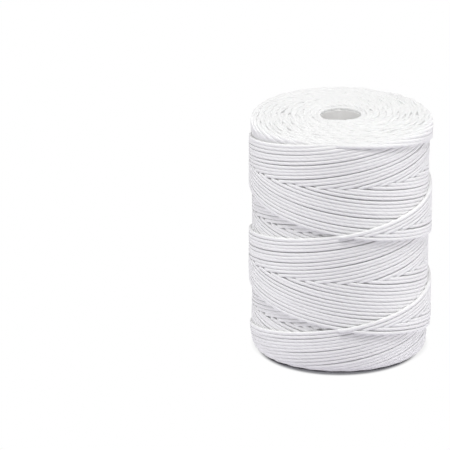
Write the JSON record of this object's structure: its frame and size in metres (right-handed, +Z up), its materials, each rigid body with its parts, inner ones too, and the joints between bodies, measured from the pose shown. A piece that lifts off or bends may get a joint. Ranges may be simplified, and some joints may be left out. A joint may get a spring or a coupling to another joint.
{
  "type": "waxed thread spool",
  "caption": "Cross-wound package of white sewing thread on a card tube, standing on end, with an open bore through its middle for a spindle.",
  "frame": {"origin": "middle of the flat base that the package stands on", "axes": "+Z up along the tube's axis; the front, as pictured, faces -Y"},
  "size_m": [0.066, 0.066, 0.0865],
  "materials": {
    "tube_paper": "matte",
    "tube_card": "matte",
    "thread": "matte"
  },
  "bodies": {
    "root": {"tube_inner_ply": "tube_paper", "tube_outer_ply": "tube_card", "thread_inner_layers": "thread", "thread_outer_turns": "thread"}
  },
  "joints": []
}
